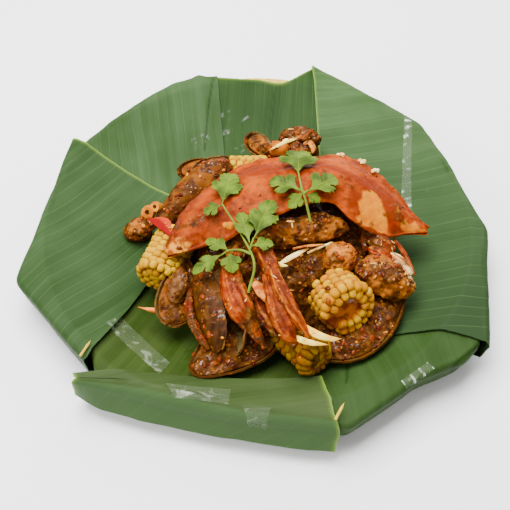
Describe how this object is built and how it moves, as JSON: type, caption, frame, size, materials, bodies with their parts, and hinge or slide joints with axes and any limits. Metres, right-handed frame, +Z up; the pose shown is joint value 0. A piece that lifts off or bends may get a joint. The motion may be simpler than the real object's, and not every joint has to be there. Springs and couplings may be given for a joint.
{
  "type": "cooked crab platter",
  "caption": "Crab in chilli sauce with corn, mussels and coriander on a round bamboo tray lined with folded banana leaves.",
  "frame": {"origin": "centre of the tray's flat foot, on the table", "axes": "+X to the right with the front strip of leaf nearest the viewer, +Y to the back, +Z up"},
  "size_m": [0.346, 0.363, 0.092],
  "materials": {
    "bamboo": "satin",
    "banana_leaf": "satin",
    "crab_shell": "glossy with sauce",
    "claw_shell": "glossy with sauce",
    "pale_shell": "satin",
    "crab_body": "glossy with sauce",
    "corn": "glossy",
    "mussel_shell": "satin",
    "mussel_meat": "glossy",
    "sauce": "glossy",
    "squid": "glossy",
    "chilli": "glossy",
    "coriander": "matt"
  },
  "bodies": {
    "root": {"tray": "bamboo", "leaf_base": "banana_leaf", "leaf_back_middle": "banana_leaf", "leaf_front_right": "banana_leaf", "leaf_back_left": "banana_leaf", "leaf_right": "banana_leaf", "leaf_left": "banana_leaf", "leaf_front_strip": "banana_leaf", "corn_left": "corn", "corn_right": "corn", "corn_front": "corn", "corn_back": "corn", "carapace": "crab_shell", "claw_right_arm": "claw_shell", "claw_right_hand": "claw_shell", "claw_right_finger": "pale_shell", "claw_right_thumb": "pale_shell", "claw_left_hand": "claw_shell", "leg_tip": "pale_shell", "leg_right_upper": "claw_shell", "leg_right_middle": "pale_shell", "leg_right_lower": "pale_shell", "mussel_left_shell": "mussel_shell", "mussel_left_meat": "mussel_meat", "mussel_middle_shell_a": "mussel_shell", "mussel_middle_shell_b": "mussel_shell", "mussel_long_shell": "mussel_shell", "mussel_back_shell_a": "mussel_shell", "mussel_back_shell_b": "mussel_shell", "mussel_back_shell_c": "mussel_shell", "half_shell_left": "mussel_shell", "half_shell_left_sauce": "sauce", "half_shell_right": "mussel_shell", "half_shell_right_sauce": "sauce", "body_middle": "crab_body", "body_left": "crab_body", "body_right_knuckle": "crab_body", "body_right": "crab_body", "shell_sliver": "pale_shell", "back_chunk": "crab_body", "back_claw": "crab_body", "left_chunk": "crab_body", "squid_ring": "squid", "chilli_left": "chilli", "coriander_left": "coriander", "coriander_right": "coriander", "pin_front": "bamboo", "pin_left": "bamboo", "sauce_heap": "sauce"}
  },
  "joints": []
}
